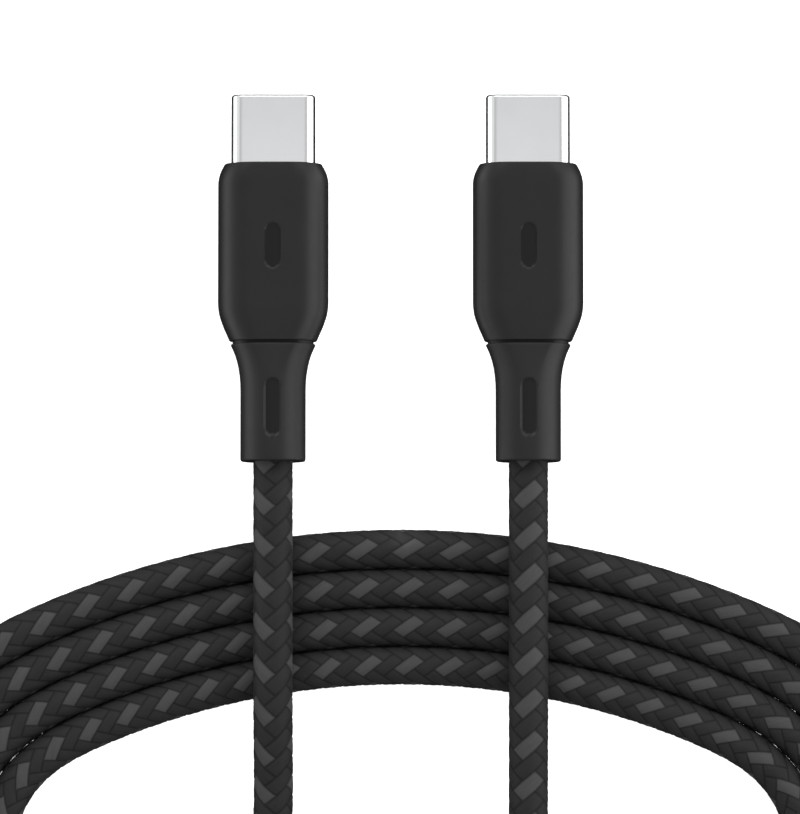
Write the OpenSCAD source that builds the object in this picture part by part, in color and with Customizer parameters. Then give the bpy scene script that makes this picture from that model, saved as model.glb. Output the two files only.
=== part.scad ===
// Braided USB-C charging cable, wound in a flat oval coil, with both plugs side by side.
// +Y runs towards the plug tips, +Z is up, and the coil lies on z = 0.

/* [Plug shell] */
// Width of the steel shell
shell_w = 8.25; // [8.0:0.01:8.4]
// Thickness of the steel shell
shell_t = 2.4; // [2.3:0.01:2.6]
// How far the shell stands out of the housing
shell_out = 6.85; // [6.4:0.05:7.2]
// Wall of the shell
shell_wall = 0.2; // [0.15:0.01:0.25]

/* [Housing] */
// Length of the housing
housing_l = 17.4; // [17.2:0.1:18.0]
// Width of the housing
housing_w = 10.84; // [10.6:0.02:11.6]
// Thickness of the housing
housing_t = 6.4; // [6.3:0.1:7.0]

/* [Boot] */
// Length of the boot behind the housing
boot_l = 11.5; // [10:0.1:14]
// Width of the boot at its head
boot_head_w = 8.3; // [8.2:0.05:8.6]
// Diameter of the boot at its tail
boot_tail_d = 6.4; // [5.6:0.1:7]

/* [Cord] */
// Diameter over the braid
cord_d = 3.8; // [3.4:0.1:3.8]
// Spacing of the turns in the coil
turn_pitch = 3.8; // [3.8:0.02:4.2]

/* [Coil] */
// Radius of the innermost turn along its long front arc
arc_r = 76.2; // [70:0.1:84]
// Half of the angle that the front arc spans
arc_half_angle = 26; // [20:1:28]
// Radius of the innermost turn at its two ends
end_r = 12; // [11:0.5:14]
// Distance of the front arc's centre behind the plugs
arc_back = 114.15; // [112:0.05:118]

/* [Layout] */
// Distance of each plug from the middle
plug_x = 12.5; // [9:0.5:20]
// Y of the housing's front face
plug_y = 11.2; // [10:0.1:13]
// How far the plugs are pitched nose down, because the cord behind them climbs over the coil
plug_pitch = 3.6; // [3:0.1:4]

/* [Hidden] */
$fn = 48;

// Heights of the plugs and of the turns
plug_z = 3.09;
turns = 4;
half_turn = turn_pitch / 2;

// Inside the plug, measured from the housing's front face (y = 0) and the plug's mid plane
clear = 0.03;
shell_back = -4;
mouth_w = 6.8;
mouth_h = 0.84;
mouth_back = 0.6;
insulator_back = -3.6;
insulator_front = shell_out - 0.4;
finger_n = 12;
finger_gap = 0.5;
finger_w = 0.25;
finger_t = 0.12;
finger_z = 0.43;
contact_z = 0.22;
finger_front = 4.8;
tail_back = -5.9;
slot_w = 0.33;
slot_top = 0.86;
latch_t = 0.2;
latch_x = 3.42;
latch_hook = 0.3;
latch_h = 0.6;
channel_x = 3.55;
channel_w = 1;
latch_back = -5.8;
latch_front = 4.5;
board_l = 6.6;
board_w = 6.4;
board_t = 0.8;
board_front = -3.9;
board_back = board_front - board_l;
can_w = 9.1;
can_t = 4.8;
can_wall = 0.2;
can_front = -3.1;
can_back = -13.6;
mould_front = -6.1;
mould_back = can_back + 0.35;
neck_back = -14.4;
ring_od = 5.0;
ring_l = 1.8;
wires_back = neck_back - 0.05;
power_at = [0.72, 0.8];
power_d = 1.1;
signal_x = [0.45, 1.3];
part_gap = 0.01;
chip = [2, 2, 0.6];
capacitor = [0.6, 1.1, 0.5];
resistor = [1.1, 0.6, 0.5];
parts_y = -8.4;
pocket = [5.3, 2.1, 0.7];
signal_z = 0.71;
signal_d = 0.55;
cavity_front = -1.6;
boot_gap = 0.3;
neck_w = 8.0;
neck_t = 5.7;
neck_front = -13.9;
boot_front = -housing_l - boot_gap;
boot_back = boot_front - boot_l;
boot_bore = cord_d + 0.04;

// Cross-sections of the housing: y, half width, half thickness
housing_hw = housing_w / 2;
housing_ht = housing_t / 2;
nose_l = 2;
nose_in = 0.62;
nose_drop = 0.08;
housing_sections = concat(
    [for (t = [0:0.2:1])
        let (near = pow(1 - t, 1.7)) [-nose_l * t, housing_hw - nose_in * near, housing_ht - nose_drop * near]],
    [[-13.6, housing_hw, housing_ht],
     [-14.4, housing_hw - 0.06, housing_ht],
     [-15.2, housing_hw - 0.24, housing_ht - 0.02],
     [-15.9, housing_hw - 0.49, housing_ht - 0.05],
     [-16.6, housing_hw - 0.79, housing_ht - 0.09],
     [-17.1, housing_hw - 1.02, housing_ht - 0.13],
     [-housing_l, housing_hw - 1.2, housing_ht - 0.2]]);

// Cross-sections of the boot: distance behind its front, half width, half thickness
boot_hw = boot_head_w / 2;
boot_r = boot_tail_d / 2;
boot_sections = [
    [0, boot_hw - 0.06, 2.94],
    [0.12, boot_hw, 3.0],
    [0.65, boot_hw - 0.24, 3.03],
    [1.2, boot_hw - 0.46, 3.06],
    [1.7, boot_hw - 0.61, 3.09],
    [2.3, boot_hw - 0.75, 3.12],
    [3, boot_hw - 0.86, 3.16],
    [3.8, boot_hw - 0.93, 3.19],
    [4.6, boot_r, boot_r],
    [boot_l - 0.3, boot_r, boot_r],
    [boot_l - 0.08, boot_r - 0.08, boot_r - 0.08],
    [boot_l, boot_r - 0.28, boot_r - 0.28]];

// Route of the cord from plug a down into the coil's first turn
bed_z = cord_d / 2;
lead_a_path = [
    [-12.5, -18, 4.9], [-12.5, -23, 5.25], [-12.5, -28, 5.6], [-12.5, -34, 5.75], [-12.5, -39, 5.75],
    [-12.5, -43, 5.05], [-12.5, -47, 3.75], [-12.5, -51, 2.4], [-12.6, -54.8, bed_z + 0.05],
    [-13.7, -59.25, bed_z], [-16.3, -63.35, bed_z], [-20, -66.45, bed_z], [-24, -68.05, bed_z],
    [-28.1, -68.45, bed_z]];

// Route of the cord from the coil's last turn up to plug b
lead_b_path = [
    [43.1, -74.4, bed_z], [39.9, -76.75, 2], [36, -78.6, 2.45], [31.5, -79.75, 3.3], [27.5, -80, 4.1],
    [23.6, -79.5, 4.85], [20, -78, 5.45], [16.9, -75.7, 5.75], [14.4, -72.5, 5.75], [13, -69, 5.75],
    [12.5, -65, 5.65], [12.5, -60, 5.2], [12.5, -54, 5], [12.5, -48, 5.2], [12.5, -43, 5.65],
    [12.5, -39, 5.75], [12.5, -34, 5.75], [12.5, -28, 5.6], [12.5, -23, 5.25], [12.5, -18, 4.9]];

// Points of an arc round c, from angle a0 to a1
function arc(c, r, a0, a1, n) = [for (i = [0:n])
    let (a = a0 + (a1 - a0) * i / n) c + r * [cos(a), sin(a)]];

// An S-shaped line from p to q that starts and ends along X
function s_line(p, q, n) = [for (i = [1:n - 1])
    [p.x + (q.x - p.x) * i / n, p.y + (q.y - p.y) * (1 - cos(180 * i / n)) / 2]];

// An upright ring of n points at y, full-round at the sides
function stadium(y, hw, ht, n = 40) = [for (i = [0:n - 1])
    let (a = 360 * (i + 0.5) / n, gap = hw - ht)
    [ht * cos(a) + (cos(a) > 0 ? gap : -gap), y, ht * sin(a)]];

// Faces that join m rings of n points and close both ends
function skin(m, n) = concat(
    [for (j = [0:m - 2], i = [0:n - 1])
        [j * n + i, (j + 1) * n + i, (j + 1) * n + (i + 1) % n, j * n + (i + 1) % n]],
    [[for (i = [0:n - 1]) i]],
    [[for (i = [n - 1:-1:0]) (m - 1) * n + i]]);

function unit(v) = v / norm(v);

// Ring of n points round point i of a path, square to the path
function ring(path, i, r, n) =
    let (a = path[max(i - 1, 0)], b = path[min(i + 1, len(path) - 1)], t = unit(b - a),
         s = unit(cross(t, [0, 0, 1])), u = cross(s, t))
    [for (k = [0:n - 1]) path[i] + r * (cos(360 * (k + 0.5) / n) * s + sin(360 * (k + 0.5) / n) * u)];

module loft(sections) {
    n = 40;
    polyhedron([for (s = sections) each stadium(s[0], s[1], s[2], n)], skin(len(sections), n));
}

module tube_along(path, d, n = 8) {
    polyhedron([for (i = [0:len(path) - 1]) each ring(path, i, d / 2, n)], skin(len(path), n));
}

// Block with full-round sides, w wide and t thick, between two places along Y
module block(w, t, front, back) {
    r = t / 2;
    for (s = [-1, 1])
        translate([s * (w / 2 - r), front, 0]) rotate([90, 0, 0]) cylinder(r = r, h = front - back);
    translate([-(w / 2 - r), back, -r]) cube([w - 2 * r, front - back, t]);
}

// Places a plug's own frame: side is -1 for plug a and 1 for plug b
module plug(side) {
    translate([side * plug_x, plug_y, plug_z]) rotate([-plug_pitch, 0, 0]) children();
}

module rod(x, z, d, front, back) {
    translate([x, front, z]) rotate([90, 0, 0]) cylinder(d = d, h = front - back);
}

// Shell with a step of 0.1 mm at its front for the rolled edge
module plug_shell() {
    edge = 0.1;
    color("silver") difference() {
        union() {
            block(shell_w, shell_t, shell_out - edge, shell_back);
            block(shell_w - edge, shell_t - edge, shell_out, 0);
        }
        block(shell_w - 2 * shell_wall, shell_t - 2 * shell_wall, shell_out + 1, shell_back - 1);
    }
}

module insulator() {
    w = shell_w - 2 * shell_wall - 2 * clear;
    t = shell_t - 2 * shell_wall - 2 * clear;
    color("dimgray") difference() {
        block(w, t, insulator_front, insulator_back);
        translate([-mouth_w / 2, mouth_back, -mouth_h / 2]) cube([mouth_w, 10, mouth_h]);
        for (i = [0:finger_n - 1])
            translate([(i - (finger_n - 1) / 2) * finger_gap - slot_w / 2, insulator_back - 1, -slot_top])
                cube([slot_w, finger_front + 1.2 - insulator_back, 2 * slot_top]);
        for (s = [-1, 1])
            translate([s * channel_x - channel_w / 2, insulator_back - 1, -latch_h / 2 - clear])
                cube([channel_w, latch_front + 1.4 - insulator_back, latch_h + 2 * clear]);
    }
}

// Twelve spring fingers: a flat tail on the board, an arm and a bowed contact at the mouth
module contacts(up) {
    under = [[tail_back, finger_z], [2, finger_z], [3.6, contact_z], [4, contact_z], [finger_front, finger_z]];
    outline = concat(under, [for (i = [len(under) - 1:-1:0]) under[i] + [0, finger_t]]);
    color("gold") for (i = [0:finger_n - 1])
        translate([(i - (finger_n - 1) / 2) * finger_gap - finger_w / 2, 0, 0])
            rotate([90, 0, 90]) linear_extrude(finger_w) polygon([for (p = outline) [p[0], up * p[1]]]);
}

// Side arm whose hook stands into the mouth and holds the socket's tongue
module latch(side) {
    hook_x = latch_x - latch_hook;
    color("lightgray") translate([0, 0, -latch_h / 2]) linear_extrude(latch_h)
        polygon([for (p = [[latch_x, latch_back], [latch_x, 2.8], [hook_x, 3.9], [hook_x, 4.1],
            [latch_x, latch_front], [latch_x + latch_t, latch_front], [latch_x + latch_t, latch_back]])
            [side * p[0], p[1]]]);
}

// Shield springs above and below the mouth
module emi_springs() {
    front = insulator_front - 0.05;
    color("lightgray") for (s = [-1, 1], x = [-2.1, 0, 2.1])
        translate([x, front - 0.4, s * (mouth_h / 2 - 0.06)]) cube([1.2, 0.7, 0.09], center = true);
}

module paddle_board() {
    color("darkgreen") difference() {
        translate([-board_w / 2, board_back, -board_t / 2]) cube([board_w, board_l, board_t]);
        for (s = [-1, 1])
            translate([s * board_w / 2, board_back, 0]) cylinder(d = 1, h = 2, center = true);
    }
}

// Marker chip and capacitors on top of the board, resistors under it
module board_parts() {
    top = board_t / 2 + part_gap;
    color("black") {
        translate([-chip.x / 2, parts_y, top]) cube(chip);
        for (s = [-1, 1]) {
            translate([s * 2.3 - capacitor.x / 2, parts_y + 0.5, top]) cube(capacitor);
            translate([s * 1.1 - resistor.x / 2, parts_y + 0.2, -top - resistor.z]) cube(resistor);
        }
    }
}

module power_wires() {
    color("firebrick") for (s = [-1, 1]) {
        rod(s * power_at.x, s * power_at.y, 0.7, board_back + 1.2, board_back - 0.1);
        rod(s * power_at.x, s * power_at.y, power_d, board_back - 0.1, wires_back);
    }
}

module signal_wires() {
    color("white") for (s = [-1, 1], x = signal_x)
        rod(s * x, -s * signal_z, signal_d, board_back + 0.9, wires_back);
}

// Hard moulding over the board and the solder joints
module inner_mould() {
    grow = 2 * clear;
    color("ivory") difference() {
        block(can_w - 2 * can_wall - grow, can_t - 2 * can_wall - grow, mould_front, mould_back);
        translate([-board_w / 2 - clear, board_back - clear, -board_t / 2 - clear])
            cube([board_w + grow, board_l + grow, board_t + grow]);
        for (s = [-1, 1])
            translate([-pocket.x / 2, parts_y - 0.05, s * 0.7 - pocket.z / 2]) cube(pocket);
        for (s = [-1, 1]) {
            rod(s * power_at.x, s * power_at.y, power_d + 0.1, board_back + 1.3, mould_back - 1);
            for (x = signal_x)
                rod(s * x, -s * signal_z, signal_d + 0.1, board_back + 1, mould_back - 1);
        }
    }
}

// Folded can from the shell to the cord's braid
module rear_shield() {
    inner_t = can_t - 2 * can_wall;
    color("lightsteelblue") difference() {
        union() {
            block(can_w, can_t, can_front, can_back);
            rod(0, 0, 4.4, can_back + 0.1, neck_back);
        }
        block(can_w - 2 * can_wall, inner_t, can_front - can_wall, can_back + can_wall);
        block(shell_w + 2 * clear, shell_t + 2 * clear, can_front + 1, can_front - 1);
        rod(0, 0, 4.0, can_back + 1, neck_back - 1);
    }
}

module crimp_ring() {
    color("goldenrod") difference() {
        rod(0, 0, ring_od, neck_back - 0.05, neck_back - 0.05 - ring_l);
        rod(0, 0, cord_d + 2 * clear, 0, -20);
    }
}

module housing() {
    color([0.13, 0.13, 0.14]) difference() {
        loft(housing_sections);
        block(shell_w + 2 * clear, shell_t + 2 * clear, 1, cavity_front - 1);
        block(can_w + 2 * clear, can_t + 2 * clear, cavity_front, neck_front);
        block(neck_w, neck_t, neck_front + 0.1, -housing_l - 1);
    }
}

module boot() {
    color([0.12, 0.12, 0.13]) difference() {
        union() {
            loft([for (s = boot_sections) [boot_front - s[0], s[1], s[2]]]);
            block(neck_w - 2 * clear, neck_t - 2 * clear, neck_front - 0.05, boot_front - 0.1);
        }
        rod(0, 0, ring_od + 2 * clear, neck_front + 1, neck_back - ring_l - 0.1);
        rod(0, 0, boot_bore, neck_front + 1, boot_back - 1);
    }
}

module cord_end() {
    color([0.2, 0.2, 0.2]) rod(0, 0, cord_d, neck_back - 0.1, boot_back + 0.1);
}

// Centre of the coil's end bend on one side
function end_centre(side) = [side * (arc_r - end_r) * sin(arc_half_angle),
    (arc_r - end_r) * cos(arc_half_angle) - arc_back];

// Outline of the wound cord: its outside, where the last turn leaves for plug b, and its opening
module coil() {
    c = [0, -arc_back];
    left = end_centre(-1);
    right = end_centre(1);
    top_left = 90 + arc_half_angle;
    top_right = 90 - arc_half_angle;
    out = (turns - 1) * turn_pitch + half_turn;
    leave = -50;
    outer = concat(
        arc(left, end_r + out, 270, top_left, 28),
        arc(c, arc_r + out, top_left - 2, top_right, 24),
        arc(right, end_r + out, top_right - 5, leave, 20),
        arc(right, end_r + out - turn_pitch, leave, -90, 8),
        s_line([right.x, right.y - end_r - out + turn_pitch], [left.x, left.y - end_r - out], 20));
    opening = concat(
        arc(right, end_r - half_turn, -90, top_right, 24),
        arc(c, arc_r - half_turn, top_right + 2, top_left, 24),
        arc(left, end_r - half_turn, top_left + 6, 270, 24),
        [[left.x, left.y - end_r - half_turn]],
        s_line([left.x, left.y - end_r - half_turn], [right.x, right.y - end_r + half_turn], 20));
    color([0.24, 0.24, 0.25]) linear_extrude(cord_d) difference() {
        polygon(outer);
        polygon(opening);
    }
}

module lead_a() {
    color([0.24, 0.24, 0.25]) tube_along(lead_a_path, cord_d);
}

module lead_b() {
    color([0.24, 0.24, 0.25]) tube_along(lead_b_path, cord_d);
}

coil();
lead_a();
lead_b();

plug(-1) plug_shell();  // plug_shell_a
plug(-1) insulator();  // insulator_a
plug(-1) contacts(1);  // upper_contacts_a
plug(-1) contacts(-1);  // lower_contacts_a
plug(-1) latch(-1);  // latch_left_a
plug(-1) latch(1);  // latch_right_a
plug(-1) emi_springs();  // emi_springs_a
plug(-1) paddle_board();  // paddle_board_a
plug(-1) board_parts();  // board_parts_a
plug(-1) power_wires();  // power_wires_a
plug(-1) signal_wires();  // signal_wires_a
plug(-1) inner_mould();  // inner_mould_a
plug(-1) rear_shield();  // rear_shield_a
plug(-1) crimp_ring();  // crimp_ring_a
plug(-1) housing();  // housing_a
plug(-1) boot();  // boot_a
plug(-1) cord_end();  // cord_end_a

plug(1) plug_shell();  // plug_shell_b
plug(1) insulator();  // insulator_b
plug(1) contacts(1);  // upper_contacts_b
plug(1) contacts(-1);  // lower_contacts_b
plug(1) latch(-1);  // latch_left_b
plug(1) latch(1);  // latch_right_b
plug(1) emi_springs();  // emi_springs_b
plug(1) paddle_board();  // paddle_board_b
plug(1) board_parts();  // board_parts_b
plug(1) power_wires();  // power_wires_b
plug(1) signal_wires();  // signal_wires_b
plug(1) inner_mould();  // inner_mould_b
plug(1) rear_shield();  // rear_shield_b
plug(1) crimp_ring();  // crimp_ring_b
plug(1) housing();  // housing_b
plug(1) boot();  // boot_b
plug(1) cord_end();  // cord_end_b
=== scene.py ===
"""Looks for the braided charging cable: the woven cord, the moulded plugs, studio and camera."""
import math
import bpy
import numpy as np
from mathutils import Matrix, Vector


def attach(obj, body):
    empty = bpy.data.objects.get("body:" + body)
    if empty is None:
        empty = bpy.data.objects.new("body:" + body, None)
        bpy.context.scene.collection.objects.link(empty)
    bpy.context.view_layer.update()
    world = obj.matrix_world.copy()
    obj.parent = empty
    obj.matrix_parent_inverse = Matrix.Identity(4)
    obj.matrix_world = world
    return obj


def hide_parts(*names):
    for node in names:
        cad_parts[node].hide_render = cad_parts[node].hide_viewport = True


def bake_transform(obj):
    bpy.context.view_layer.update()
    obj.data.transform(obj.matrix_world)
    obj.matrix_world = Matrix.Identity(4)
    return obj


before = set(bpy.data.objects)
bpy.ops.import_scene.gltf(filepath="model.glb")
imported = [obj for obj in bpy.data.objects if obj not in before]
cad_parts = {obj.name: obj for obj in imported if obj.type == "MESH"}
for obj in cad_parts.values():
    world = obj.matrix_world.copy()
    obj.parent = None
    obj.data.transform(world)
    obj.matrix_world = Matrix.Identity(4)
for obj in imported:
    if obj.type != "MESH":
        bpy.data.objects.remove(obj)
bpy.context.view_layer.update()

MM = 0.001

# ------------------------------------------------------------ sizes shared with the CAD model, in millimetres

CORD_D = 3.8
TURNS = 4
TURN_PITCH = 3.8
ARC_R = 76.2
ARC_HALF_ANGLE = 26
ARC_BACK = 114.15
END_R = 12
LAST_TURN_LEAVES = -50
BED_Z = CORD_D / 2
PLUG_X, PLUG_Y, PLUG_Z = 12.5, 11.2, 3.09
PLUG_PITCH = math.radians(3.6)
SHELL_W, SHELL_T, SHELL_OUT, SHELL_WALL = 8.25, 2.4, 6.85, 0.2
HOUSING_L, HOUSING_W, HOUSING_T = 17.4, 10.84, 6.4
NOSE_L, NOSE_IN, NOSE_DROP = 2, 0.6, 0.08
BOOT_FRONT, BOOT_L, BOOT_HEAD_W, BOOT_TAIL_D = -17.7, 11.5, 8.3, 6.4
BOOT_BACK = BOOT_FRONT - BOOT_L
# Inside the plug: where the boot's neck starts and its size, and where the cord's end lies
NECK_FRONT, NECK_W, NECK_T = -13.95, 3.97, 2.82
CORD_END_FRONT, CORD_CORE_L = -14.5, 10.5
CLEAR = 0.03
# The plain recesses in the place of the marks: centre along the plug, length, width and depth
HOUSING_PILL = (-8.2, 4.4, 1.5, 0.14)
BOOT_PILL = (-24, 5.6, 1.5, 0.2)

# The same routes as the CAD model's leads
LEAD_A = [
    (-12.5, -18, 4.9), (-12.5, -23, 5.25), (-12.5, -28, 5.6), (-12.5, -34, 5.75), (-12.5, -39, 5.75),
    (-12.5, -43, 5.05), (-12.5, -47, 3.75), (-12.5, -51, 2.4), (-12.6, -54.8, 1.95), (-13.7, -59.25, 1.9),
    (-16.3, -63.35, 1.9), (-20, -66.45, 1.9), (-24, -68.05, 1.9), (-28.1, -68.45, 1.9)]
LEAD_B = [
    (43.1, -74.4, 1.9), (39.9, -76.75, 2), (36, -78.6, 2.45), (31.5, -79.75, 3.3), (27.5, -80, 4.1),
    (23.6, -79.5, 4.85), (20, -78, 5.45), (16.9, -75.7, 5.75), (14.4, -72.5, 5.75), (13, -69, 5.75),
    (12.5, -65, 5.65), (12.5, -60, 5.2), (12.5, -54, 5), (12.5, -48, 5.2), (12.5, -43, 5.65),
    (12.5, -39, 5.75), (12.5, -34, 5.75), (12.5, -28, 5.6), (12.5, -23, 5.25), (12.5, -18, 4.9)]


def plug_point(side, x, y, z):
    """A point of a plug's own frame, in the row frame; side is -1 for plug a and 1 for plug b."""
    c, s = math.cos(PLUG_PITCH), math.sin(PLUG_PITCH)
    return np.array([side * PLUG_X + x, PLUG_Y + y * c + z * s, PLUG_Z - y * s + z * c])


# ------------------------------------------------------------ camera

def make_camera():
    """Straight above, as the photograph sees it: the view's long side is its height."""
    lens, sensor = 250, 36
    seen_height, middle_x, middle_y, focus_z = 79.93, -0.065, -12.595, 3.2
    data = bpy.data.cameras.new("camera")
    data.lens, data.sensor_width = lens, sensor
    data.clip_start, data.clip_end = 0.01, 20
    camera = bpy.data.objects.new("camera", data)
    camera.location = (middle_x * MM, middle_y * MM, (focus_z + seen_height * lens / sensor) * MM)
    bpy.context.scene.collection.objects.link(camera)
    bpy.context.scene.camera = camera


make_camera()


# ------------------------------------------------------------ the cord's route

def spline(points, step=1.0):
    """Points about step apart on a smooth curve through the given points."""
    p = np.array(points, float)
    p = np.vstack([2 * p[0] - p[1], p, 2 * p[-1] - p[-2]])
    made = []
    for a, b, c, d in zip(p, p[1:], p[2:], p[3:]):
        n = max(int(np.linalg.norm(c - b) / step), 2)
        for t in np.arange(n) / n:
            made.append(0.5 * (2 * b + (c - a) * t + (2 * a - 5 * b + 4 * c - d) * t ** 2
                               + (3 * b - a - 3 * c + d) * t ** 3))
    return np.array(made)


def arc(centre, radius, start, end, step=1.0):
    """Points of a level arc, from one angle to another, in degrees."""
    n = max(int(abs(math.radians(end - start)) * radius / step), 2)
    a = np.radians(start + (end - start) * np.arange(n) / n)
    return np.stack([centre[0] + radius * np.cos(a), centre[1] + radius * np.sin(a), np.full(n, BED_Z)], 1)


def shift_run(start, end, step=1.0):
    """The run behind the opening, where a turn moves out by one place."""
    n = int(abs(end[0] - start[0]) / step)
    t = np.arange(n) / n
    ease = (1 - np.cos(np.pi * t)) / 2
    return np.stack([start[0] + (end[0] - start[0]) * t, start[1] + (end[1] - start[1]) * ease,
                     np.full(n, BED_Z)], 1)


def coil_route():
    """The coil's turns, from lead a's end to lead b's start, and where each front arc starts and ends."""
    reach = (ARC_R - END_R)
    end_x = reach * math.sin(math.radians(ARC_HALF_ANGLE))
    end_y = reach * math.cos(math.radians(ARC_HALF_ANGLE)) - ARC_BACK
    left, right, middle = (-end_x, end_y), (end_x, end_y), (0, -ARC_BACK)
    parts, spans, count = [], [], 0
    for turn in range(TURNS):
        out = turn * TURN_PITCH
        rear_y = end_y - END_R - out
        last = turn == TURNS - 1
        front = arc(middle, ARC_R + out, 90 + ARC_HALF_ANGLE, 90 - ARC_HALF_ANGLE)
        pieces = [arc(left, END_R + out, 270, 90 + ARC_HALF_ANGLE), front,
                  arc(right, END_R + out, 90 - ARC_HALF_ANGLE, LAST_TURN_LEAVES if last else -90)]
        if not last:
            pieces.append(shift_run((end_x, rear_y), (-end_x, rear_y - TURN_PITCH)))
        spans.append((count + len(pieces[0]), count + len(pieces[0]) + len(front)))
        count += sum(len(p) for p in pieces)
        parts += pieces
    return np.vstack(parts), spans


def lengths(points):
    """Distance along a line at each of its points."""
    return np.concatenate([[0], np.cumsum(np.linalg.norm(np.diff(points, axis=0), axis=1))])


def cord_route(step=0.25, ease=2.5, inside=3.5):
    """The whole cord's centreline, evenly spaced, its last few millimetres inside each boot."""
    start = plug_point(-1, 0, BOOT_BACK + inside, 0)
    finish = plug_point(1, 0, BOOT_BACK + inside, 0)
    lead_a = spline([start] + LEAD_A)
    turns, spans = coil_route()
    lead_b = spline(LEAD_B + [finish])
    rough = np.vstack([lead_a, turns, lead_b, finish])
    s = lengths(rough)
    marks = [(s[len(lead_a) + a], s[len(lead_a) + b]) for a, b in spans]
    even = np.arange(0, s[-1], step)
    line = np.stack([np.interp(even, s, rough[:, i]) for i in range(3)], 1)
    reach = int(4 * ease / step)
    bell = np.exp(-0.5 * (np.arange(-reach, reach + 1) * step / ease) ** 2)
    bell /= bell.sum()
    before = line[0] - (line[reach:0:-1] - line[0])
    after = line[-1] - (line[-2:-reach - 2:-1] - line[-1])
    long = np.vstack([before, line, after])
    smooth = np.stack([np.convolve(long[:, i], bell, "valid") for i in range(3)], 1)
    return smooth, marks


route, front_arcs = cord_route()
route_s = lengths(route)

# ------------------------------------------------------------ the braid

CARRIERS = 12
WEAVE_STEPS = 4
# How far a float stands up, how flat its top is, and how far the lattice is drawn towards its edges
RELIEF = 0.09
FLATNESS = 3
CROWDING = 0.11
CROWN_R = CORD_D / 2 + 0.055
# The length of one repeat of the weave, four crossings, and what it spans on every front arc
REPEAT_UNITS = 4
UNIT = 4.04 / REPEAT_UNITS
FRONT_ARC_REPEAT = math.radians(3.015)
# Where in a repeat a light cell's middle lies, and the X at which the arcs' cells stand in line
LIGHT_AT = 0.5
ARC_CELL_X = 0.8
# How far the weave is shifted along each lead, in units, and how far the braid is turned, in degrees
LEAD_A_SHIFT, LEAD_B_SHIFT = 1.15, -0.45
LEAD_A_TURN, ARC_TURN, LEAD_B_TURN = 37.5, 79, 15
# How much wider than even the yarns lie on the cord's upper side, in degrees
LEAD_SPREAD, COIL_SPREAD = 11.5, -14.3
# How much of each lead keeps its own turn and spread, and how far from the front arcs the coil's own reach
LEAD_A_RUN, LEAD_B_RUN = 36, 50
ARC_MARGIN = 10
# Where the tracer passes to the other set of yarns, past the last front arc
TRACER_CHANGES = front_arcs[-1][1] + 40


def nearest_light(units):
    """The light cell nearest to a place in the weave."""
    return LIGHT_AT + REPEAT_UNITS * round((units - LIGHT_AT) / REPEAT_UNITS)


def weave_knots():
    """Places on the route with the weave units before them and the units per millimetre there.
    The light cells stand in line across the front arcs, so the braid is more open on the outer turns."""
    knots = [(0.0, LEAD_A_SHIFT, 1 / UNIT), (LEAD_A_RUN, LEAD_A_SHIFT + LEAD_A_RUN / UNIT, 1 / UNIT)]
    for turn, (start, finish) in enumerate(front_arcs):
        slope = REPEAT_UNITS / ((ARC_R + turn * TURN_PITCH) * FRONT_ARC_REPEAT)
        inside = (route_s >= start) & (route_s <= finish)
        middle = np.interp(ARC_CELL_X, route[inside, 0], route_s[inside])
        last_s, last_units, _ = knots[-1]
        at_middle = nearest_light(last_units + (start - last_s) / UNIT + (middle - start) * slope)
        knots += [(s, at_middle + (s - middle) * slope, slope) for s in (start, finish)]
    end = route_s[-1]
    last_s, last_units, _ = knots[-1]
    at_end = nearest_light(last_units + (end - last_s) / UNIT) + LEAD_B_SHIFT
    knots += [(end - LEAD_B_RUN, at_end - LEAD_B_RUN / UNIT, 1 / UNIT), (end, at_end, 1 / UNIT)]
    return np.array(knots)


def weave_units():
    """How many weave units lie before each point of the route: a smooth curve through the knots."""
    k = weave_knots()
    i = np.clip(np.searchsorted(k[:, 0], route_s, "right") - 1, 0, len(k) - 2)
    h = k[i + 1, 0] - k[i, 0]
    t = (route_s - k[i, 0]) / h
    return ((2 * t ** 3 - 3 * t ** 2 + 1) * k[i, 1] + (t ** 3 - 2 * t ** 2 + t) * h * k[i, 2]
            + (3 * t ** 2 - 2 * t ** 3) * k[i + 1, 1] + (t ** 3 - t ** 2) * h * k[i + 1, 2])


def along_cord(s, on_lead_a, in_coil, on_lead_b):
    """A value that holds on each lead and in the coil, and runs evenly from one to the next."""
    end = route_s[-1]
    coil = [front_arcs[0][0] - ARC_MARGIN, front_arcs[-1][1] + ARC_MARGIN]
    places = [0, LEAD_A_RUN, *coil, end - LEAD_B_RUN, end]
    return np.interp(s, places, [on_lead_a, on_lead_a, in_coil, in_coil, on_lead_b, on_lead_b])


def braid_points(a, b, s, height):
    """Where the skin's points lie, by their lattice places a and b, distances s and heights on the floats."""
    centre = along_route(route, s)
    ahead = along_route(np.gradient(route, axis=0), s)
    ahead /= np.linalg.norm(ahead, axis=-1, keepdims=True)
    side = np.cross(ahead, [0, 0, 1.0])
    side /= np.linalg.norm(side, axis=-1, keepdims=True)
    up = np.cross(side, ahead)
    turn = along_cord(s, LEAD_A_TURN, ARC_TURN, LEAD_B_TURN)
    spread = np.radians(along_cord(s, LEAD_SPREAD, COIL_SPREAD, LEAD_SPREAD))
    from_top = np.radians(360 / CARRIERS * (a + b) + turn - 90)
    angle = np.pi / 2 + from_top + spread * np.sin(from_top)
    r = CROWN_R - RELIEF * (1 - height)
    skin = centre + r[..., None] * (np.cos(angle)[..., None] * side + np.sin(angle)[..., None] * up)
    return np.vstack([skin.reshape(-1, 3), centre[:1, 0], centre[-1:, 0]])


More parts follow.
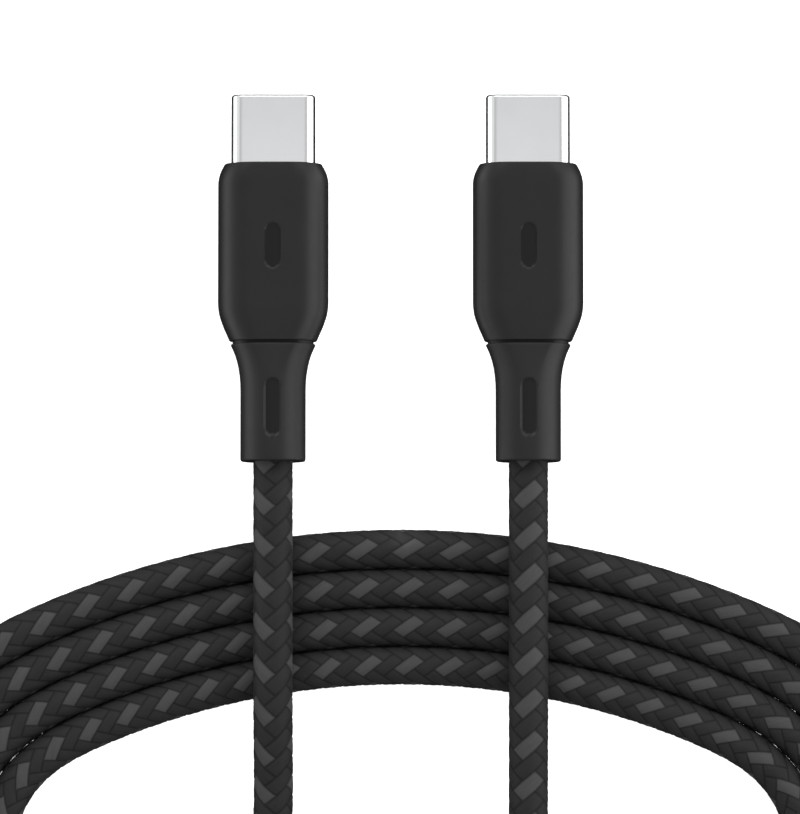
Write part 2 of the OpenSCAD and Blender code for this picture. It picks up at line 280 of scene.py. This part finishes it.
def braid_mesh():
    """The cord's sleeve as one closed skin: a lattice of diamonds, four to a crossing, raised into floats.
    Each float lies over two yarns of the other set, which gives the herringbone."""
    units = weave_units()
    k = WEAVE_STEPS
    around = CARRIERS * k // 2
    first = 2 * math.ceil(units[0] * k / 2)
    rows = int(units[-1] * k) - first
    q = first + np.arange(rows + 1)[:, None]
    j = np.arange(around)
    p = 2 * j + (q & 1)
    a, b = crowd((p - q) / (2 * k)), crowd((p + q) / (2 * k))
    s = np.interp(b - a, units, route_s)
    along, across = float_place(a, b)
    verts = braid_points(a, b, s, float_height(along, across))
    # each quad's corners, its left one in its own row
    inner = np.arange(1, rows)[:, None]
    odd = inner & 1
    left = inner * around + j
    right = inner * around + (j + 1) % around
    over = (inner + 1) * around + (j + odd) % around
    under = (inner - 1) * around + (j + odd) % around
    quads = np.stack([left, over, right, under], -1).reshape(-1, 4)
    mesh = bpy.data.meshes.new("braided_cord")
    mesh.from_pydata([tuple(v) for v in verts * MM], [], quads.tolist() + end_fans(rows, around))
    # how far each point lies in from its float's edge; the braid's material paints shade along the yarns'
    # edges and ends from it
    inward = np.minimum(1 - across, 2 * (1 - along))
    crown = mesh.attributes.new("crown", "FLOAT", "POINT")
    crown.data.foreach_set("value", np.append(inward.ravel(), [0, 0]).astype(np.float32))
    mid_p, mid_q = 2 * j + odd + 1, first + inner
    mark_yarns(mesh, (mid_p - mid_q) / (2 * k), (mid_p + mid_q) / (2 * k), s[1:rows, :1] > TRACER_CHANGES)
    mesh.polygons.foreach_set("use_smooth", np.ones(len(mesh.polygons), bool))
    mesh.set_sharp_from_angle(angle=math.radians(40))
    return mesh


def mark_yarns(mesh, mid_a, mid_b, changed):
    """Marks each quad, from its middle, with its yarn's number, tracer or not, and its place on the yarn."""
    cell_a, cell_b = np.floor(mid_a + 0.5), np.floor(mid_b + 0.5)
    first_set = np.mod(cell_a + cell_b, 4) < 2
    tracer_a = first_set & (np.mod(cell_a, 2) == 0)
    tracer_b = ~first_set & (np.mod(cell_b, 2) == 0)
    tracer = np.where(changed, tracer_b, tracer_a)
    yarns = CARRIERS // 2
    number = np.where(first_set, np.mod(cell_a, yarns), yarns + np.mod(cell_b, yarns))
    for name, values in (("tracer", tracer.ravel()), ("yarn_number", number.ravel())):
        full = np.zeros(len(mesh.polygons), np.float32)
        full[:values.size] = values
        mesh.attributes.new(name, "FLOAT", "FACE").data.foreach_set("value", full)
    # corners in the order left, over, right, under, in lattice steps from the quad's middle
    step = 1 / (2 * WEAVE_STEPS)
    corner_a = crowd(mid_a[..., None] + np.array([-step, -step, step, step]))
    corner_b = crowd(mid_b[..., None] + np.array([-step, step, step, -step]))
    along = np.where(first_set[..., None], corner_b, corner_a)
    across = np.where(first_set[..., None], corner_a - cell_a[..., None], corner_b - cell_b[..., None])
    uv = np.stack([along, across], -1).reshape(-1, 2)
    full = np.zeros((len(mesh.loops), 2), np.float32)
    full[:len(uv)] = uv
    mesh.uv_layers.new(name="yarn").data.foreach_set("uv", full.ravel())


def crowd(place):
    """Draws the lattice's lines towards the yarns' edges, where the skin bends most."""
    return place + CROWDING * np.sin(2 * np.pi * place)


def along_route(values, s):
    """What the route's values are at the distances s."""
    return np.stack([np.interp(s, route_s, values[:, i]) for i in range(3)], -1)


def float_place(a, b):
    """Where a point of the weave lies on its float: along it and across it, each 1 at an edge."""
    cell_a, cell_b = np.floor(a + 0.5), np.floor(b + 0.5)
    place = np.mod(cell_a + cell_b, 4)
    first_set = place < 2
    along = np.where(first_set, b - cell_b, a - cell_a) + np.where(np.mod(place, 2) == 0, -0.5, 0.5)
    across = 2 * np.where(first_set, a - cell_a, b - cell_b)
    return np.clip(np.abs(along), 0, 1), np.clip(np.abs(across), 0, 1)


def float_height(along, across):
    """How far the yarn stands up at a place on its float, from 0 at its edges to 1 on its crown."""
    return ((1 - along ** FLATNESS) * (1 - across ** FLATNESS)) ** (1 / FLATNESS)


def end_fans(rows, around):
    """Triangles that close the cord's two ends."""
    made = []
    first_hub = (rows + 1) * around
    for j in range(around):
        nxt = (j + 1) % around
        made.append([j, around + j, nxt])
        made.append([first_hub, j, nxt])
        last, before = rows * around, (rows - 1) * around
        shift = (rows & 1)
        made.append([last + j, last + nxt, before + (j + shift) % around])
        made.append([first_hub + 1, last + nxt, last + j])
    return made


def add(mesh, name, material):
    """A new object for a mesh, with its material."""
    piece = bpy.data.objects.new(name, mesh)
    bpy.context.scene.collection.objects.link(piece)
    mesh.materials.append(material)
    return piece


# ------------------------------------------------------------ materials

class Look:
    """A material round one Principled shader, with short calls to add nodes."""

    def __init__(self, name, **values):
        self.material = bpy.data.materials.new(name)
        self.material.use_nodes = True
        self.tree = self.material.node_tree
        self.shader = self.tree.nodes["Principled BSDF"]
        for key, value in values.items():
            self.shader.inputs[key.replace("_", " ")].default_value = value

    def node(self, kind, inputs=None, **settings):
        made = self.tree.nodes.new("ShaderNode" + kind)
        for key, value in settings.items():
            setattr(made, key, value)
        for key, value in (inputs or {}).items():
            if isinstance(value, bpy.types.NodeSocket):
                self.tree.links.new(value, made.inputs[key])
            else:
                made.inputs[key].default_value = value
        return made

    def feed(self, key, socket):
        self.tree.links.new(socket, self.shader.inputs[key])

    def place(self, scale=(1, 1, 1)):
        """Millimetres in the piece's own frame, stretched by scale."""
        where = self.node("TexCoord")
        return self.node("Mapping", {"Vector": where.outputs["Object"],
                                     "Scale": [1000 * v for v in scale]}).outputs["Vector"]

    def noise(self, vector, scale, detail=2.0, rough=0.5):
        return self.node("TexNoise", {"Vector": vector, "Scale": scale, "Detail": detail,
                                      "Roughness": rough}).outputs["Fac"]

    def spread(self, value, low, high):
        """Maps a 0 to 1 value onto low to high."""
        return self.node("MapRange", {"Value": value, "To Min": low, "To Max": high}).outputs["Result"]

    def tint(self, factor, dark, light):
        """A colour between two, each a colour or a socket, by a factor, through the node's colour sockets."""
        colours = [c if isinstance(c, bpy.types.NodeSocket) else (*c, 1) for c in (dark, light)]
        return self.node("Mix", {0: factor, 6: colours[0], 7: colours[1]}, data_type="RGBA").outputs[2]

    def bump(self, height, distance, strength=1.0):
        self.feed("Normal", self.node("Bump", {"Height": height, "Distance": distance * MM,
                                               "Strength": strength}).outputs["Normal"])


def grey(level):
    return (level, level, level)


def plastic(name, colour, roughness, grain=0.09, depth=0.004, specular=0.5, marked=False):
    """Moulded plastic or rubber: a fine etched grain, with slight cloudiness in colour and gloss.
    A marked piece has a darker recess where its own attribute says so."""
    look = Look(name, Specular_IOR_Level=specular)
    where = look.place()
    cloud = look.noise(where, 0.25, 3)
    colours = look.tint(cloud, [0.85 * c for c in colour], [1.15 * c for c in colour])
    if marked:
        recess = look.node("Attribute", attribute_name="recess").outputs["Fac"]
        colours = look.tint(recess, colours, [0.25 * c for c in colour])
    look.feed("Base Color", colours)
    fine = look.noise(where, 1 / grain, 3, 0.6)
    look.feed("Roughness", look.spread(look.noise(where, 1.2, 2), roughness - 0.06, roughness + 0.06))
    look.bump(fine, depth)
    return look.material


def metal(name, colour, roughness, streak=(1, 0.04, 1), depth=0.0008, edge=grey(1)):
    """Sheet metal with faint drawing marks along its length; edge is its tint at grazing angles."""
    look = Look(name, Metallic=1.0, Specular_Tint=(*edge, 1))
    where = look.place(streak)
    lines = look.noise(where, 14, 3, 0.65)
    look.feed("Base Color", look.tint(look.noise(look.place(), 0.4, 2), [0.94 * c for c in colour], colour))
    look.feed("Roughness", look.spread(lines, roughness - 0.05, roughness + 0.08))
    look.bump(lines, depth)
    return look.material


def braid_look():
    """Yarns of fine filaments, every other one of one set a lighter tracer, with painted shade darkening each
    yarn's edges and ends.
    """
    look = Look("braid", Roughness=0.6, Specular_IOR_Level=0.08)
    uv = look.node("UVMap", uv_map="yarn").outputs["UV"]
    parts = look.node("SeparateXYZ", {"Vector": uv})
    along, across = parts.outputs["X"], parts.outputs["Y"]
    number = look.node("Attribute", attribute_name="yarn_number").outputs["Fac"]
    tracer = look.node("Attribute", attribute_name="tracer").outputs["Fac"]
    # filaments run along the yarn, so the noise is stretched that way
    lane = look.node("CombineXYZ", {
        "X": look.node("Math", {0: along, 1: 1.1}, operation="MULTIPLY").outputs[0],
        "Y": look.node("Math", {0: across, 1: 16.0}, operation="MULTIPLY").outputs[0],
        "Z": look.node("Math", {0: number, 1: 5.7}, operation="MULTIPLY").outputs[0]}).outputs["Vector"]
    strands = look.node("TexNoise", {"Vector": lane, "Scale": 1.0, "Detail": 2.0, "Roughness": 0.55,
                                     "Distortion": 0.3}).outputs["Fac"]
    blotch = look.noise(look.place(), 0.5, 2)
    dark = look.tint(strands, grey(0.014), grey(0.0235))
    light = look.tint(strands, grey(0.039), grey(0.058))
    yarn = look.tint(tracer, dark, light)
    # painted shade: the colour darkens towards a yarn's edges and ends, where the crevices between the yarns
    # lie
    crown = look.node("Attribute", attribute_name="crown").outputs["Fac"]
    shade = look.node("MapRange", {"Value": crown, "From Max": 0.28, "To Min": 0.5, "To Max": 1.0},
                      interpolation_type="SMOOTHSTEP").outputs["Result"]
    shade_and_blotch = look.node("Math", {0: shade, 1: look.spread(blotch, 0.9, 1.1)}, operation="MULTIPLY").outputs[0]
    scaled = look.node("VectorMath", {0: yarn, "Scale": shade_and_blotch}, operation="SCALE")
    look.feed("Base Color", scaled.outputs["Vector"])
    look.bump(strands, 0.015, 0.7)
    return look.material


LOOKS = {
    "braid": braid_look(),
    "shell_steel": metal("shell_steel", (0.84, 0.85, 0.86), 0.16, depth=0.0004, edge=grey(0.05)),
    "insulator_plastic": plastic("insulator_plastic", grey(0.02), 0.45),
    "contact_gold": metal("contact_gold", (0.85, 0.62, 0.28), 0.25),
    "spring_steel": metal("spring_steel", (0.62, 0.62, 0.62), 0.3),
    "board_laminate": plastic("board_laminate", (0.015, 0.1, 0.035), 0.35, 0.3, 0.002),
    "chip_black": plastic("chip_black", grey(0.018), 0.5),
    "wire_red": plastic("wire_red", (0.35, 0.015, 0.012), 0.4),
    "wire_white": plastic("wire_white", (0.7, 0.7, 0.66), 0.4),
    "mould_ivory": plastic("mould_ivory", (0.62, 0.58, 0.48), 0.5, 0.3),
    "can_steel": metal("can_steel", (0.6, 0.61, 0.63), 0.38),
    "crimp_brass": metal("crimp_brass", (0.62, 0.46, 0.2), 0.35, (0.04, 1, 0.04)),
    "housing_black": plastic("housing_black", (0.01, 0.01, 0.0105), 0.4, specular=0.22, marked=True),
    "boot_black": plastic("boot_black", (0.01, 0.01, 0.0105), 0.45, 0.07, specular=0.22, marked=True),
    "jacket_black": plastic("jacket_black", grey(0.03), 0.5),
}

CAD_LOOKS = {
    "insulator": "insulator_plastic", "upper_contacts": "contact_gold", "lower_contacts": "contact_gold",
    "latch_left": "spring_steel", "latch_right": "spring_steel", "emi_springs": "spring_steel",
    "paddle_board": "board_laminate", "board_parts": "chip_black", "power_wires": "wire_red",
    "signal_wires": "wire_white", "inner_mould": "mould_ivory", "rear_shield": "can_steel",
    "crimp_ring": "crimp_brass",
}


def dress_cad_nodes():
    for name, look in CAD_LOOKS.items():
        for suffix in "ab":
            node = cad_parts[f"{name}_{suffix}"]
            node.data.materials.clear()
            node.data.materials.append(LOOKS[look])


# ------------------------------------------------------------ the plugs' outer pieces

def stadium(half_w, half_t, arc_n, flat_n):
    """A full-round-sided outline in X and Z, from the right side over the top, at evenly set places."""
    gap = half_w - half_t
    quarter = np.linspace(0, np.pi / 2, arc_n, endpoint=False)
    flat = np.linspace(gap, -gap, flat_n, endpoint=False)
    x = np.concatenate([gap + half_t * np.cos(quarter), flat, -gap - half_t * np.sin(quarter)])
    z = np.concatenate([half_t * np.sin(quarter), np.full(flat_n, half_t), half_t * np.cos(quarter)])
    return np.concatenate([x, -x]), np.concatenate([z, -z])


def oval(half_w, half_t, n):
    """An outline that is a circle where its two halves are equal, and near a stadium where they aren't."""
    a = np.arange(n) * 2 * np.pi / n
    return half_t * np.cos(a) + (half_w - half_t) * np.clip(3 * np.cos(a), -1, 1), half_t * np.sin(a)


def sleeve(name, side, sections, outline, shape=None):
    """A closed tube through rings of (y, half width, half thickness), down its outside and up its inside."""
    plain = []
    for y, half_w, half_t in sections:
        x, z = outline(half_w, half_t)
        plain.append(np.stack([x, np.full(len(x), y), z], 1))
    rings = plain if shape is None else [shape(ring) for ring in plain]
    n, m = len(rings[0]), len(rings)
    points = [tuple(MM * plug_point(side, *v)) for ring in rings for v in ring]
    faces = [(i * n + j, i * n + (j + 1) % n, (i + 1) % m * n + (j + 1) % n, (i + 1) % m * n + j)
             for i in range(m) for j in range(n)]
    mesh = bpy.data.meshes.new(name)
    mesh.from_pydata(points, [], faces)
    mesh.polygons.foreach_set("use_smooth", np.ones(len(mesh.polygons), bool))
    mesh.set_sharp_from_angle(angle=math.radians(32))
    if shape is not None:
        depth = np.concatenate([flat[:, 2] - pressed[:, 2] for flat, pressed in zip(plain, rings)])
        attribute = mesh.attributes.new("recess", "FLOAT", "POINT")
        attribute.data.foreach_set("value", (depth / depth.max()).astype(np.float32))
    return mesh


def dense(sections, step):
    """Fills in rings between the given ones, in even steps along Y of at most the given size."""
    made = []
    for a, b in zip(sections, sections[1:]):
        n = max(int(math.ceil(abs(a[0] - b[0]) / step)), 1)
        made += [tuple(np.array(a) + (np.array(b) - np.array(a)) * i / n) for i in range(n)]
    return made + [sections[-1]]


def rounded_end(y, half_w, half_t, radius, inward, n=6, drop=None):
    """Rings round an edge, from the side of a tube to its end face; inward is the way along Y into the tube.
    The edge turns in by radius at the sides, and by drop, if it is given, at the top and bottom."""
    angles = [math.pi / 2 * i / n for i in range(n + 1)]
    return [(y + inward * radius * (1 - math.sin(t)), half_w - radius * (1 - math.cos(t)),
             half_t - (drop or radius) * (1 - math.cos(t))) for t in angles]


def pill_dent(centre_y, length, width, depth, edge=0.1):
    """Presses a plain pill shape into the top face."""
    def press(ring):
        x, y, z = ring[:, 0], ring[:, 1], ring[:, 2]
        run = length / 2 - width / 2
        away = np.hypot(x, np.maximum(np.abs(y - centre_y) - run, 0)) - width / 2
        sink = depth * np.clip(0.5 - away / edge, 0, 1)
        out = ring.copy()
        out[:, 2] = np.where(z > 0.5 * z.max(), z - sink, z)
        return out
    return press


def shell_sections():
    half_w, half_t = SHELL_W / 2, SHELL_T / 2
    roll, drop, back = 0.3, 0.5, -4
    outer = rounded_end(SHELL_OUT, half_w, half_t, roll, -1, 10, drop)
    lip = [(SHELL_OUT - 0.04, half_w - roll - 0.02, half_t - drop - 0.02),
           (SHELL_OUT - roll, half_w - roll, half_t - drop),
           (SHELL_OUT - roll - 0.1, half_w - SHELL_WALL, half_t - SHELL_WALL)]
    return [(back, half_w, half_t)] + outer + lip + [(back, half_w - SHELL_WALL, half_t - SHELL_WALL)]


def housing_sections():
    half_w, half_t = HOUSING_W / 2, HOUSING_T / 2
    edge = 0.1
    steps = np.linspace(0, 1, 21)
    nose = [(-edge - (NOSE_L - edge) * t, half_w - NOSE_IN * (1 - t) ** 2, half_t - NOSE_DROP * (1 - t) ** 2)
            for t in steps]
    nose = rounded_end(0, nose[0][1], nose[0][2], edge, -1, 4)[::-1] + nose[1:]
    tail = [(-13.6, 0, 0), (-14.0, 0.02, 0), (-14.4, 0.06, 0), (-14.8, 0.13, 0.01), (-15.2, 0.24, 0.02),
            (-15.55, 0.36, 0.035), (-15.9, 0.49, 0.05), (-16.25, 0.63, 0.07), (-16.6, 0.79, 0.09),
            (-16.9, 0.92, 0.11), (-17.15, 1.03, 0.13), (-17.34, 1.11, 0.15), (-HOUSING_L, 1.17, 0.2)]
    outside = nose + [(y, half_w - w, half_t - t) for y, w, t in tail]
    # from the back: the boot's neck, the pocket for the inner pieces, then the shell's way through the front
    neck = (NECK_W + CLEAR, NECK_T + CLEAR)
    pocket, pocket_front, pocket_back = (4.58, 2.43), -1.6, -13.9
    front = (SHELL_W / 2 + CLEAR, SHELL_T / 2 + CLEAR)
    inside = [(-HOUSING_L, *neck), (pocket_back, *neck), (pocket_back, *pocket), (pocket_front, *pocket),
              (pocket_front, *front), (0, *front)]
    return dense(outside, 0.1) + inside


def boot_sections():
    half_w, r = BOOT_HEAD_W / 2, BOOT_TAIL_D / 2
    flare = [(0, half_w - 0.08, 2.92), (0.05, half_w - 0.02, 2.98), (0.13, half_w, 3.0),
             (0.4, half_w - 0.13, 3.02), (0.65, half_w - 0.24, 3.03), (0.9, half_w - 0.35, 3.045),
             (1.2, half_w - 0.46, 3.06), (1.7, half_w - 0.61, 3.09), (2.3, half_w - 0.75, 3.12),
             (3.0, half_w - 0.86, 3.16), (3.8, half_w - 0.93, 3.19), (4.6, r, r), (BOOT_L - 0.2, r, r),
             (BOOT_L - 0.12, r - 0.02, r - 0.02), (BOOT_L - 0.05, r - 0.06, r - 0.06),
             (BOOT_L, r - 0.15, r - 0.15)]
    outside = [(BOOT_FRONT - y, w, t) for y, w, t in flare]
    # the neck is cut away where it shows between housing and boot, so that the joint looks deep
    joint_t = 2.3
    neck = [(NECK_FRONT, NECK_W, NECK_T), (-HOUSING_L + 0.05, NECK_W, NECK_T), (-HOUSING_L, NECK_W, joint_t),
            (BOOT_FRONT, NECK_W, joint_t)]
    bore, seat, seat_back = CORD_D / 2 + 0.02, 2.53, -16.3
    inside = [(BOOT_BACK, bore, bore), (seat_back, bore, bore),
              (seat_back, seat, seat), (NECK_FRONT, seat, seat)]
    return neck + dense(outside, 0.15) + dense(inside[:2], 0.4) + inside[2:]


def cord_end_sections():
    r, bore = CORD_D / 2, 0.2
    back = CORD_END_FRONT - CORD_CORE_L
    outside = [(CORD_END_FRONT, r, r), (back, r, r)]
    return dense(outside, 0.4) + [(back, bore, bore), (CORD_END_FRONT, bore, bore)]


def make_plug(side, suffix):
    """The outer pieces of one plug: shell, housing, boot and the end of the cord inside them."""
    body = f"plug_{suffix}"
    shell = add(sleeve(f"steel_shell_{suffix}", side, shell_sections(), lambda w, t: stadium(w, t, 16, 10)),
                f"steel_shell_{suffix}", LOOKS["shell_steel"])
    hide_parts(f"plug_shell_{suffix}")
    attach(shell, body)
    housing = add(sleeve(f"moulded_housing_{suffix}", side, housing_sections(),
                         lambda w, t: stadium(w, t, 14, 44), pill_dent(*HOUSING_PILL)),
                  f"moulded_housing_{suffix}", LOOKS["housing_black"])
    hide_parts(f"housing_{suffix}")
    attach(housing, body)
    boot = add(sleeve(f"rubber_boot_{suffix}", side, boot_sections(), lambda w, t: oval(w, t, 160),
                      pill_dent(*BOOT_PILL)),
               f"rubber_boot_{suffix}", LOOKS["boot_black"])
    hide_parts(f"boot_{suffix}")
    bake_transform(boot)
    core = add(sleeve(f"cord_core_{suffix}", side, cord_end_sections(), lambda w, t: oval(w, t, 48)),
               f"cord_core_{suffix}", LOOKS["jacket_black"])
    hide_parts(f"cord_end_{suffix}")
    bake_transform(core)


def make_cord():
    cord = add(braid_mesh(), "braided_cord", LOOKS["braid"])
    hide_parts("coil", "lead_a", "lead_b")
    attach(cord, "cord")


make_plug(-1, "a")
make_plug(1, "b")
make_cord()
dress_cad_nodes()


# ------------------------------------------------------------ studio

# How bright the tent is at each height, from straight down at -1 to straight up at 1
TENT = [(-0.99, 0.01), (-0.5, 0.02), (-0.36, 0.7), (0.0, 0.9), (0.7, 0.9), (0.82, 0.52), (0.93, 0.7),
        (0.99, 0.88)]


def make_floor():
    mesh = bpy.data.meshes.new("floor")
    half = 2.5
    corners = [(-half, -half, 0), (half, -half, 0), (half, half, 0), (-half, half, 0)]
    mesh.from_pydata(corners, [], [(0, 1, 2, 3)])
    look = Look("floor", Roughness=0.9, Base_Color=(*grey(0.9), 1), Emission_Color=(*grey(1), 1),
                Emission_Strength=0.8)
    floor = bpy.data.objects.new("floor", mesh)
    mesh.materials.append(look.material)
    bpy.context.scene.collection.objects.link(floor)
    # a glowing table that lights nothing, as in a picture with its background whitened
    floor.visible_glossy = False
    floor.visible_diffuse = False
    floor.visible_shadow = False


def area_light(name, place, target, size, radiance):
    """A soft panel that faces a target; radiance is how bright its face looks."""
    data = bpy.data.lights.new(name, "AREA")
    data.shape, data.size, data.size_y = "RECTANGLE", *size
    data.energy = radiance * math.pi * size[0] * size[1]
    light = bpy.data.objects.new(name, data)
    light.location = place
    light.visible_camera = False
    aim = Vector(target) - Vector(place)
    light.rotation_euler = aim.to_track_quat("-Z", "Y").to_euler()
    bpy.context.scene.collection.objects.link(light)


def make_light():
    """A studio tent: grey overhead, white round the sides and dark below, with a soft panel to each side,
    one beyond the plugs' tips, so that each turn shades towards the coil's middle, and two small cards
    back to back between the plugs, for their inner sides."""
    world = bpy.data.worlds.new("studio")
    bpy.context.scene.world = world
    world.use_nodes = True
    tree = world.node_tree
    background = tree.nodes["Background"]
    way = tree.nodes.new("ShaderNodeTexCoord").outputs["Generated"]
    parts = tree.nodes.new("ShaderNodeSeparateXYZ")
    tree.links.new(way, parts.inputs[0])
    height = tree.nodes.new("ShaderNodeMapRange")
    height.inputs["From Min"].default_value = -1
    tree.links.new(parts.outputs["Z"], height.inputs["Value"])
    ramp = tree.nodes.new("ShaderNodeValToRGB")
    tree.links.new(height.outputs["Result"], ramp.inputs[0])
    stops = ramp.color_ramp.elements
    for place, level in TENT:
        stop = stops.new((place + 1) / 2)
        stop.color = (*grey(level), 1)
    stops.remove(stops[0])
    stops.remove(stops[-1])
    tree.links.new(ramp.outputs["Color"], background.inputs["Color"])
    background.inputs["Strength"].default_value = 1.0
    middle = (0, -0.02, 0)
    area_light("beyond", (0, 0.6, 0.5), middle, (0.8, 0.3), 5.2)
    area_light("left", (-0.7, 0, 0.02), middle, (0.8, 0.4), 1.9)
    area_light("right", (0.7, 0, 0.2), middle, (0.8, 0.85), 2.1)
    card_place, card_size = (0, -0.004, 0.0036), (0.044, 0.0034)
    for side in (-1, 1):
        area_light("card", card_place, (side * 0.007, *card_place[1:]), card_size, 1.4)
    bpy.context.scene.view_settings.view_transform = "Standard"


make_floor()
make_light()
